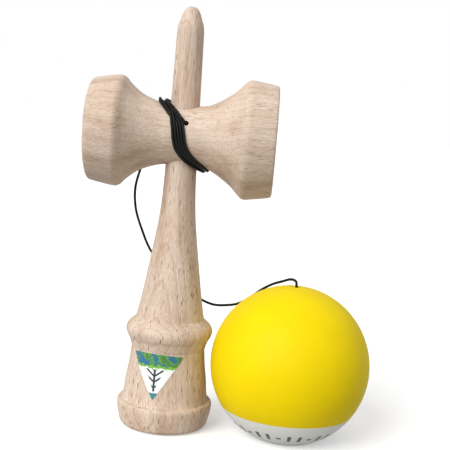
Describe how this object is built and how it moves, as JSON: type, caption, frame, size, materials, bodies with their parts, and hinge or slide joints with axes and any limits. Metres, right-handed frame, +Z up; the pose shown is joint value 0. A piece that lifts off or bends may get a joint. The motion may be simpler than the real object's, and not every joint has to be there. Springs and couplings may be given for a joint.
{
  "type": "kendama",
  "caption": "Wooden skill toy: a spiked handle with a base cup, a double-cup crosspiece and a drilled ball tied on by a string.",
  "frame": {"origin": "centre of the base cup's rim, on the floor that the ken and the ball stand on", "axes": "+Z up along the ken to its spike, +X towards the big cup and the ball, -Y towards the viewer"},
  "size_m": [0.1114, 0.06, 0.158],
  "materials": {
    "beech": "fine-sanded bare beech",
    "sticker_vinyl": "printed vinyl",
    "string_nylon": "braided nylon",
    "bead_wood": "waxed",
    "ball_paint": "satin paint"
  },
  "bodies": {
    "ken": {"ken": "beech", "sticker": "sticker_vinyl"},
    "sarado": {"sarado": "beech", "anchor_knot": "string_nylon", "string_lead": "string_nylon", "string_winding": "string_nylon", "string_run": "string_nylon"},
    "string_end": {"string_tail": "string_nylon", "bead": "bead_wood", "bead_knot": "string_nylon"},
    "ball": {"ball": "ball_paint"}
  },
  "joints": [
    {"name": "sarado_lift", "type": "slide", "parent": "ken", "child": "sarado", "axis": [0, 0, 1], "range_m": [0, 0.065]},
    {"name": "ball_swing", "type": "hinge", "parent": "sarado", "child": "string_end", "pos_m": [-0.015, 0.014, 0.1001], "axis": [0, -1, 0], "range_deg": [0, 90], "deforming": ["string_run"]},
    {"name": "ball_spin", "type": "hinge", "parent": "string_end", "child": "ball", "pos_m": [0.0467, -0.0026, 0], "axis": [0, 0, 1], "continuous": true}
  ]
}
